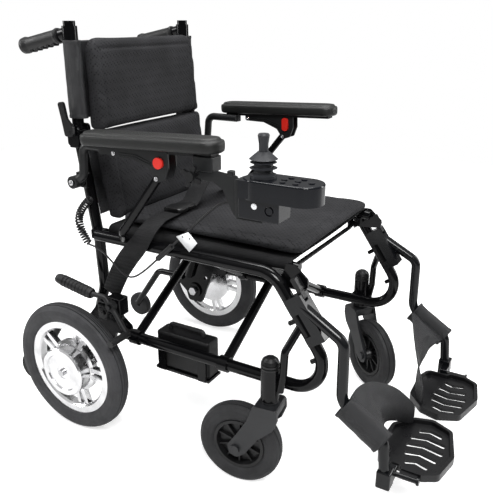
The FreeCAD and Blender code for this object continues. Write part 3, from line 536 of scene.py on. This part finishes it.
# ------------------------------------------------------------------ paint on the CAD nodes
PAINT = {
    "frame_paint": ["side_frame", "brace_bars", "front_spreader", "cane"],
    "black_plastic": ["frame_fittings", "caster_hub", "back_lever", "wing_knob", "release_lever",
                      "lead_connector"],
    "steel": ["motor_mount", "brace_pivots"],
    "alloy": ["drive_wheel"],
    "fork_paint": ["caster_fork"],
    "clamp_paint": ["hanger"],
    "arm_plastic": ["arm_frame"],
    "red_plastic": ["release_button"],
    "case_plastic": ["controller_case"],
    "boot_rubber": ["joystick_boot", "joystick_knob"],
    "key_plastic": ["keypad_buttons"],
    "battery_plastic": ["battery"],
    "plate_plastic": ["footplate"],
    "grip_rubber": ["brake_lever", "push_grip"],
    "roller": ["anti_tip_wheel"],
    "tyre": ["drive_tyre"],
    "caster_tyre": ["caster_tyre"],
    "cable": ["controller_lead", "coiled_cord"],
    "sleeve": ["cane_sleeve", "heel_loop"],
    "mesh": ["back_pad_upper", "back_pad_lower", "seat_cushion"],
    "sling": ["seat_sling"],
    "webbing": ["lap_belt"],
    "pad_leather": ["arm_pad"],
}


def paint_cad():
    by_node = {}
    for material, stems in PAINT.items():
        for stem in stems:
            for ending in ("", "_right", "_left", "_a", "_b"):
                by_node[stem + ending] = material
    for name, node in NODES.items():
        node.data.materials.clear()
        node.data.materials.append(MATERIALS[by_node[name]])
        for face in node.data.polygons:
            face.use_smooth = True
        edges = add_modifier(node, "EDGE_SPLIT", split_angle=math.radians(32))
        edges.use_edge_sharp = False


# ------------------------------------------------------------------ soft goods
RAIL_X = 0.2
# Half width of the back upholstery panels.
BACK_HALF = 0.1885


def build_cushions():
    seat = inflate("seat_cushion_cover", "seat_cushion", "mesh", voxel=0.006, cap=0.006)
    lo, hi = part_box("seat_cushion")
    middle = (lo + hi) / 2

    def to_rim(co):
        """Distance from the sewn line that runs round the cushion inside its edge."""
        reach = 0.021
        dx = (hi.x - lo.x) / 2 - reach - abs(co.x - middle.x)
        dy = (hi.y - lo.y) / 2 - reach - abs(co.y - middle.y)
        inside = min(dx, dy)
        return abs(inside) if co.z > middle.z + 0.004 else 1.0

    press_line(seat, to_rim, 0.0022, 0.006)
    finish_pad(seat, "seat", "seat_cushion")

    upper = inflate("back_pad_upper_cover", "back_pad_upper", "mesh", voxel=0.005, cap=0.004,
                    grow=(0.006, 0, 0.001))
    lo_u, hi_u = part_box("back_pad_upper")

    def to_upper_seam(co):
        dx = (hi_u.x - lo_u.x) / 2 - 0.016 - abs(co.x - (hi_u.x + lo_u.x) / 2)
        dz = hi_u.z - 0.02 - co.z
        front = co.y < (lo_u.y + hi_u.y) / 2 + 0.006
        return abs(min(dx, dz)) if front else 1.0

    press_line(upper, to_upper_seam, 0.0026, 0.006)
    finish_pad(upper, "cane_right", "back_pad_upper")

    lower = inflate("back_pad_lower_cover", "back_pad_lower", "mesh", voxel=0.005, cap=0.004,
                    grow=(0.006, 0, 0.001))
    lo_l, hi_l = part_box("back_pad_lower")

    def to_lower_seam(co):
        dx = (hi_l.x - lo_l.x) / 2 - 0.016 - abs(co.x - (hi_l.x + lo_l.x) / 2)
        return abs(dx) if co.y < (lo_l.y + hi_l.y) / 2 + 0.012 else 1.0

    press_line(lower, to_lower_seam, 0.0026, 0.006)
    finish_pad(lower, "right_frame", "back_pad_lower")


def finish_pad(pad, body, node):
    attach(pad, body)
    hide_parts(node)
    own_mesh(pad)


def build_sling():
    """Nylon seat sling pulled over both seat rails, with a hemmed front and rear edge."""
    lo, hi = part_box("seat_sling")
    thick, reach, sag = 0.0016, 0.0122, 0.0028
    rail_z = lo.z - 0.0113
    across = []
    for k in range(7):
        a = math.radians(200 - 110 * k / 6)
        across.append((-RAIL_X + reach * math.cos(a), rail_z + reach * math.sin(a)))
    for k in range(1, 24):
        x = -RAIL_X + 2 * RAIL_X * k / 24
        across.append((x, rail_z + reach - sag * math.sin(math.pi * k / 24) ** 2))
    across += [(-x, z) for x, z in reversed(across[:7])]
    bm = bmesh.new()
    rows = []
    steps = 60
    for j in range(steps + 1):
        y = lo.y + 0.001 + (hi.y - lo.y - 0.002) * j / steps
        near_edge = min(j, steps - j)
        hem = 0.0011 if near_edge in (1, 2, 3) else 0.0
        rows.append([bm.verts.new((x, y, z + hem * 0.7 + 0.0006 * noise.noise(Vector((x * 18, y * 14, 3)))))
                     for x, z in across])
    skin_rows(bm, rows)
    sling = new_piece("seat_sling_cloth", bm, "sling", "seat", ["seat_sling"])
    add_modifier(sling, "SOLIDIFY", thickness=thick, offset=1.0)
    bake_modifiers(sling)
    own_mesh(sling)


def bake_modifiers(obj):
    """Apply every modifier to the piece's own mesh."""
    graph = bpy.context.evaluated_depsgraph_get()
    data = bpy.data.meshes.new_from_object(obj.evaluated_get(graph))
    obj.modifiers.clear()
    obj.data = data
    for face in data.polygons:
        face.use_smooth = True


def build_sleeves():
    """Nylon sleeves of the back upholstery, drawn round the upper back tubes."""
    for label, side in SIDES:
        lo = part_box("cane_sleeve_" + label)[0]
        cx, cy = side * 0.202, AXLE_Y + 0.010
        top = 0.889
        rings = []
        steps, around = 64, 40
        for k in range(steps + 1):
            t = k / steps
            z = lo.z + (top - lo.z) * t
            hem = 0.0009 if t < 0.045 or t > 0.965 else 0.0
            rx = 0.0148 + hem
            front = 0.0262 - 0.004 * t + hem
            rear = 0.0195 + hem
            ring = []
            for i in range(around):
                a = 2 * math.pi * i / around
                c, s_ = math.cos(a), math.sin(a)
                ry = front if s_ < 0 else rear
                fold = 0.0009 * noise.noise(Vector((c * 1.4 + side * 3, s_ * 1.4, z * 38)))
                fold += 0.0005 * noise.noise(Vector((c * 4, s_ * 4 + side * 2, z * 16)))
                ring.append(Vector((cx + side * 0.0008 + (rx + fold) * c, cy - 0.002 + (ry + fold) * s_, z)))
            rings.append(ring)
        bm = bmesh.new()
        loft(bm, rings, close_ends=False)
        sleeve = new_piece("cane_sleeve_cloth_" + label, bm, "sleeve", "cane_" + label,
                           ["cane_sleeve_" + label])
        add_modifier(sleeve, "SOLIDIFY", thickness=0.0010, offset=-1.0)
        bake_modifiers(sleeve)


def back_cloth(name, body, half, z0, z1, line_y):
    """One stretched panel of the upholstery: line_y(z) is where the tubes stand at that height."""
    columns, rows_up = 60, 36
    bm = bmesh.new()
    rows = []
    for j in range(rows_up + 1):
        z = z0 + (z1 - z0) * j / rows_up
        row = []
        for i in range(columns + 1):
            x = -half + 2 * half * i / columns
            sag = 0.007 * math.cos(math.pi * x / (2 * half))
            ripple = 0.0012 * noise.noise(Vector((x * 22, z * 9, 5.1)))
            row.append(bm.verts.new((x, line_y(z) + sag + ripple, z)))
        rows.append(row)
    skin_rows(bm, rows)
    panel = new_piece(name, bm, "sleeve", body)
    add_modifier(panel, "SOLIDIFY", thickness=0.0012, offset=0.0)
    bake_modifiers(panel)
    rise = math.hypot(z1 - z0, line_y(z1) - line_y(z0))
    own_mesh(panel)


def build_back_panels():
    """Nylon back of the upholstery behind both pads: one panel folds down with the upper pad."""
    back_cloth("back_panel_upper", "cane_right", BACK_HALF, 0.726, 0.888, lambda z: AXLE_Y + 0.001)
    back_cloth("back_panel_lower", "right_frame", BACK_HALF, 0.508, 0.690,
               lambda z: AXLE_Y - 0.021 + 0.028 * (z - 0.508) / 0.182)


HEEL_BAND = [((-224, -698, 210), (0, 0.835, 0.55), 92), ((-200, -695, 213), (0, 0.72, 0.69), 94),
             ((-166, -692, 208), (0, 0.48, 0.88), 94), ((-122, -698, 188), (0, 0.24, 0.97), 90),
             ((-78, -713, 161), (0, 0.06, 1), 80), ((-47, -732, 133), (0, 0, 1), 62),
             ((-34, -743, 120), (0, 0, 1), 44)]


def mirrored(point, side):
    return Vector((-point.x, point.y, point.z)) if side > 0 else point


def nurbs_line(name, points):
    """Curve data of one smooth NURBS line that starts and ends at its end points."""
    data = bpy.data.curves.new(name, "CURVE")
    data.dimensions = "3D"
    spline = data.splines.new("NURBS")
    spline.points.add(len(points) - 1)
    for target, p in zip(spline.points, points):
        target.co = (*p, 1)
    spline.order_u = 3
    spline.use_endpoint_u = True
    return data


def spline_points(points):
    """Points of a smooth NURBS line through a cord's or a seam's route."""
    data = nurbs_line("line", points)
    data.resolution_u = 12
    obj = bpy.data.objects.new("line", data)
    SCENE.collection.objects.link(obj)
    mesh = bpy.data.meshes.new_from_object(obj)
    out = [v.co.copy() for v in mesh.vertices]
    bpy.data.objects.remove(obj)
    bpy.data.meshes.remove(mesh)
    return out


def build_heel_loops():
    """Cloth sleeve round each leg tube, and the band behind the heel, with hems and slack folds."""
    for label, side in SIDES:
        start, end = mm(-240, -656, 236.1), mm(-240, -738, 181.9)
        half_height, half_width = 0.0275, 0.0175
        rings = []
        steps, around = 40, 40
        _, across, up = frames_along([start, end])[0]
        for k in range(steps + 1):
            t = k / steps
            centre = start.lerp(end, t)
            hem = 0.0012 if t < 0.06 or t > 0.94 else 0.0
            ring = []
            for i in range(around):
                a = 2 * math.pi * i / around
                c, s_ = math.cos(a), math.sin(a)
                tall = half_height + hem + 0.0016 * noise.noise(Vector((c * 1.3, s_ * 1.3 + side * 4, t * 5)))
                wide = half_width + hem + 0.0012 * noise.noise(Vector((c * 2.1, s_ * 2.1 + side * 2, t * 7)))
                ring.append(mirrored(centre + across * (wide * c) + up * (tall * s_ - 0.003), side))
            rings.append(ring)
        bm = bmesh.new()
        loft(bm, rings, close_ends=False)
        sleeve = new_piece("heel_sleeve_" + label, bm, "sleeve", "hanger_" + label,
                           ["heel_loop_" + label])
        add_modifier(sleeve, "SOLIDIFY", thickness=0.0014, offset=-1.0)
        bake_modifiers(sleeve)

        centres = smooth_line([mm(*at) for at, _, _ in HEEL_BAND], 10)
        ups = smooth_line([Vector(up) for _, up, _ in HEEL_BAND], 10)
        heights = smooth_line([Vector((h, 0, 0)) for _, _, h in HEEL_BAND], 10)
        bm = bmesh.new()
        rows = []
        across_steps = 18
        for i, (centre, up, height) in enumerate(zip(centres, ups, heights)):
            row = []
            for j in range(across_steps + 1):
                v = j / across_steps - 0.5
                point = centre + up.normalized() * (v * height.x / 1000)
                t = i / (len(centres) - 1)
                slack = math.sin(math.pi * min(1, t * 1.4 + 0.08))
                ripple = 0.006 * noise.noise(Vector((t * 5.5 + side, v * 3.2, 1.7))) * slack
                hem = 0.0009 if j in (1, across_steps - 1) else 0.0
                point.y += ripple + hem - 0.006 * math.sin(math.pi * (v + 0.5)) * math.sin(math.pi * t)
                row.append(bm.verts.new(mirrored(point, side)))
            rows.append(row)
        skin_rows(bm, rows)
        band = new_piece("heel_band_" + label, bm, "sleeve", "hanger_" + label)
        add_modifier(band, "SOLIDIFY", thickness=0.0024, offset=0.0)
        bake_modifiers(band)
        spans = zip(centres, centres[1:], heights, heights[1:])
        cut = sum((b - a).length * (p.x + q.x) / 2000 for a, b, p, q in spans)
        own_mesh(band)


BELT_RIGHT = [(-221, -64, 330), (-228, -86, 366), (-238, -116, 408), (-246, -150, 448), (-246, -178, 480),
              (-234, -192, 508), (-212, -197, 524), (-192, -198, 528), (-172, -198, 529), (-150, -197, 529)]
BELT_LEFT = [(-90, -197, 531), (-70, -197, 541), (-45, -198, 566), (-15, -200, 583), (15, -201, 580),
             (45, -200, 560), (70, -199, 540), (100, -198, 529), (150, -197, 527), (198, -196, 526),
             (213, -195, 512), (216, -192, 486), (216, -180, 455)]


def build_belt():
    """Lap belt: two lengths of webbing joined by a side-release buckle resting on the cushion."""
    pieces = []
    for name, route in (("lap_belt_right", BELT_RIGHT), ("lap_belt_left", BELT_LEFT)):
        line = smooth_line([mm(*p) for p in route], 8)
        bm = bmesh.new()
        strap(bm, line, (0, 1, 0), 0.046, 0.0017)
        belt = new_piece(name, bm, "webbing", "seat")
        pieces.append(belt)
    bm = bmesh.new()
    x0, x1 = -154, -88
    socket = [(-16, 0), (-20, 3), (-20, 10), (-16, 12.5), (16, 12.5), (20, 10), (20, 3), (16, 0)]
    rings = []
    for x, swell in ((x0, 0.86), (x0 + 3, 1.0), (x0 + 30, 1.04), (x0 + 34, 1.0)):
        rings.append([mm(x, -197 + 1.12 * u * swell, 526.5 + v * (0.9 + 0.1 * swell)) for u, v in socket])
    loft(bm, rings)
    rings = []
    for x, swell in ((x0 + 35, 0.9), (x0 + 38, 0.96), (x1 - 3, 0.96), (x1, 0.82)):
        rings.append([mm(x, -197 + 1.12 * u * swell, 527.2 + v * 0.82) for u, v in socket])
    loft(bm, rings)
    for lip in (-1, 1):
        rings = []
        for x, w in ((x0 + 12, 3.5), (x0 + 16, 5.5), (x0 + 26, 5.5), (x0 + 31, 4)):
            rings.append([mm(x, -197 + lip * (19.5 + u * w * 0.35), 528.5 + v) for u, v in
                          ((0, 0.5), (1, 1.5), (1, 7.5), (0, 9))])
        loft(bm, rings)
    buckle = new_piece("lap_belt_buckle", bm, "black_plastic", "seat", ["lap_belt"])
    add_modifier(buckle, "BEVEL", width=0.0009, segments=2, limit_method="ANGLE")
    bake_modifiers(buckle)
    for piece in pieces + [buckle]:
        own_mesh(piece)


def build_arm_pads():
    """Moulded rests: grained side wall, a step all round and a slightly crowned top."""
    for label, side in SIDES:
        outline = []
        length, half = 0.331, 0.030
        y_front, y_rear = -0.406 + AXLE_Y, -0.075 + AXLE_Y
        steps = 14
        r_front, r_rear = 0.0285, 0.022
        for k in range(steps + 1):
            a = math.pi / 2 * k / steps
            outline.append((half - r_front + r_front * math.sin(a),
                            y_front + r_front - r_front * math.cos(a)))
        for k in range(steps + 1):
            a = math.pi / 2 * k / steps
            outline.append((half - r_rear + r_rear * math.cos(a), y_rear - r_rear + r_rear * math.sin(a)))
        outline += [(-x, y) for x, y in reversed(outline)]
        dense = []
        for a, b in zip(outline, outline[1:] + outline[:1]):
            a, b = Vector((*a, 0)), Vector((*b, 0))
            parts = max(1, int((b - a).length / 0.008))
            dense += [a.lerp(b, k / parts) for k in range(parts)]
        centre_y = (y_front + y_rear) / 2
        profile = [(0.6900, 0.012), (0.6903, 0.004), (0.6925, 0.001), (0.697, 0.0), (0.705, -0.0003),
                   (0.7095, 0.0002), (0.7115, 0.0014), (0.7122, 0.0032), (0.7124, 0.0050),
                   (0.7150, 0.0060), (0.7172, 0.0082), (0.7180, 0.0120), (0.7186, 0.0180)]
        bm = bmesh.new()
        rings = []
        for z, inset in profile:
            ring = []
            for p in dense:
                q = Vector((p.x, p.y - centre_y, 0))
                sx = (half - inset) / half
                sy = (length / 2 - inset) / (length / 2)
                ring.append(Vector((q.x * sx - 0.269, q.y * sy + centre_y, z)))
            rings.append(ring)
        loft(bm, rings)
        rise = Matrix.Rotation(math.radians(-2.2), 4, "X")
        pivot = mm(-269, -75, 690)
        for vertex in bm.verts:
            vertex.co = mirrored(pivot + rise @ (vertex.co - pivot), side)
        for face in [f for f in bm.faces if len(f.verts) > 4]:
            bmesh.ops.poke(bm, faces=[face])
        pad = new_piece("arm_pad_cover_" + label, bm, "pad_leather", "arm_" + label,
                        ["arm_pad_" + label])


LEAD = [(-250, -452.1, 607), (-250, -428, 609.5), (-252, -400, 607), (-254, -372, 592), (-250, -268, 493)]
TAIL = [(-250, -230, 458), (-250, -192, 421), (-247, -146, 392), (-244, -109, 412), (-244, -62, 450),
        (-240, -34, 450)]
COIL = [(-240, -28, 450), (-240, -8, 476), (-240, 0, 508), (-236, -16, 540), (-230, -38, 560)]


def curve_piece(name, points, radius, material):
    data = nurbs_line(name, points)
    data.resolution_u = 10
    data.bevel_depth = radius
    data.bevel_resolution = 4
    data.use_fill_caps = True
    obj = bpy.data.objects.new(name, data)
    SCENE.collection.objects.link(obj)
    data.materials.append(MATERIALS[material])
    return obj


def line_length(points):
    return sum((b - a).length for a, b in zip(points, points[1:]))


def even_line(points, step):
    """The same line with its points evenly spaced."""
    count = max(2, round(line_length(points) / step))
    gap = line_length(points) / count
    out, left = [points[0].copy()], gap
    for a, b in zip(points, points[1:]):
        length = (b - a).length
        while left <= length and len(out) < count:
            out.append(a.lerp(b, left / length))
            left += gap
        left -= length
    return out + [points[-1].copy()]


def build_cords():
    """Controller lead with its plug, and the curly cord from the plug to the rear post."""
    lead_points = [mm(*p) for p in LEAD]
    lead = curve_piece("controller_lead_cable", lead_points, 0.0025, "cable")
    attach(lead, "arm_right")
    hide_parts("controller_lead")
    line_length(spline_points(lead_points))

    tail = spline_points([mm(*p) for p in TAIL])
    core = even_line(spline_points([mm(*p) for p in COIL]), 0.002)
    turns, radius, wire = 21, 0.0077, 0.0021
    frames = frames_along(core)
    per_turn, opening = 24, 30
    samples = turns * per_turn
    helix = []
    for k in range(samples + 1):
        spot = min(len(core) - 2, k * (len(core) - 1) / samples)
        index = int(spot)
        _, side, up = frames[index]
        ease = min(1.0, k / opening, (samples - k) / opening)
        a = 2 * math.pi * turns * k / samples
        centre = core[index].lerp(core[index + 1], spot - index)
        helix.append(centre + (side * math.cos(a) + up * math.sin(a)) * radius * ease * ease * (3 - 2 * ease))
    path = even_line(tail + helix[1:], 0.0012)
    for _ in range(6):
        middle = [(a + b * 2 + c) / 4 for a, b, c in zip(path, path[1:], path[2:])]
        path = [path[0]] + middle + [path[-1]]
    bm = bmesh.new()
    tube_along(bm, path, wire, sides=8)
    cord = new_piece("curly_cord", bm, "cable", None, ["coiled_cord"])
    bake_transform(cord)


def build_labels():
    """Blank plastic tag hung on the controller lead, and the plain white dot on the controller's housing."""
    corners = [(-285, 519), (-315, 533), (-336, 513.5), (-316, 491)]
    holes = [(-301, 521), (-318, 520)]
    bm = bmesh.new()
    face = [mm(-256, y, z) for y, z in corners]
    rings = [face, [p + Vector((-0.0008, 0, 0)) for p in face]]
    loft(bm, rings)
    new_piece("lead_tag", bm, "white_plastic", "arm_right")
    bm = bmesh.new()
    disc = [(0, 0.0016), (0.0004, 0.0016), (0.0004, 0.00001), (0, 0.00001)]
    for y, z in holes:
        lathe(bm, disc, mm(-256.8, y, z), (-1, 0, 0), 16)
    new_piece("lead_tag_holes", bm, "black_plastic", "arm_right")
    bm = bmesh.new()
    dot = [(-0.0006, 0.0058), (0.0006, 0.0054), (0.0009, 0.0046), (0.0009, 0.00001), (-0.0006, 0.00001)]
    lathe(bm, dot, mm(-295.2, -486, 621), (-1, 0, 0), 28)
    new_piece("status_dot", bm, "white_plastic", "arm_right")


def build_screws():
    """Socket screws on both faces of each armrest's latch bracket and at its pivot, each with its recess."""
    heads = []
    for y, z in ((-158, 680), (-262, 640)):
        heads.append(((-283.2, y, z), (-1, 0, 0), 4.6))
        heads.append(((-254.8, y, z), (1, 0, 0), 4.6))
    heads.append(((-258.3, -8, 595), (-1, 0, 0), 6.2))
    for label, side in SIDES:
        bm = bmesh.new()
        for at, axis, r in heads:
            profile = [(-1.2, r), (0.6, r), (1.5, r * 0.86), (1.9, r * 0.6), (1.9, r * 0.42),
                       (0.6, r * 0.36), (0.6, 0.001), (-1.2, 0.001)]
            lathe(bm, [(h / 1000, q / 1000) for h, q in profile], mm(*at), axis, 24)
        for vertex in bm.verts:
            vertex.co = mirrored(vertex.co.copy(), side)
        new_piece("screws_arm_" + label, bm, "steel", "arm_" + label)


def build_floor():
    bm = bmesh.new()
    bmesh.ops.create_grid(bm, x_segments=1, y_segments=1, size=3.2)
    data = bpy.data.meshes.new("floor")
    bm.to_mesh(data)
    bm.free()
    floor = bpy.data.objects.new("floor", data)
    SCENE.collection.objects.link(floor)
    floor.location.z = CAD_BOX[0].z - 0.0005
    m = Nodes("pale_floor")
    m.set(base=m.ramp(m.noise(2, 2), [(0.3, (0.72, 0.72, 0.72)), (0.7, (0.76, 0.76, 0.76))]), rough=0.9,
          spec=0.0)
    path = m.tree.nodes.new("ShaderNodeLightPath")
    m.shader.inputs["Emission Color"].default_value = (1, 1, 1, 1)
    m.put(m.shader.inputs["Emission Strength"], m.math("MULTIPLY", path.outputs["Is Camera Ray"], 0.6))
    data.materials.append(m.material)


build_camera()
build_light()
build_cords()
paint_cad()
build_cushions()
build_sling()
build_sleeves()
build_back_panels()
build_heel_loops()
build_belt()
build_arm_pads()
build_screws()
build_labels()
build_floor()
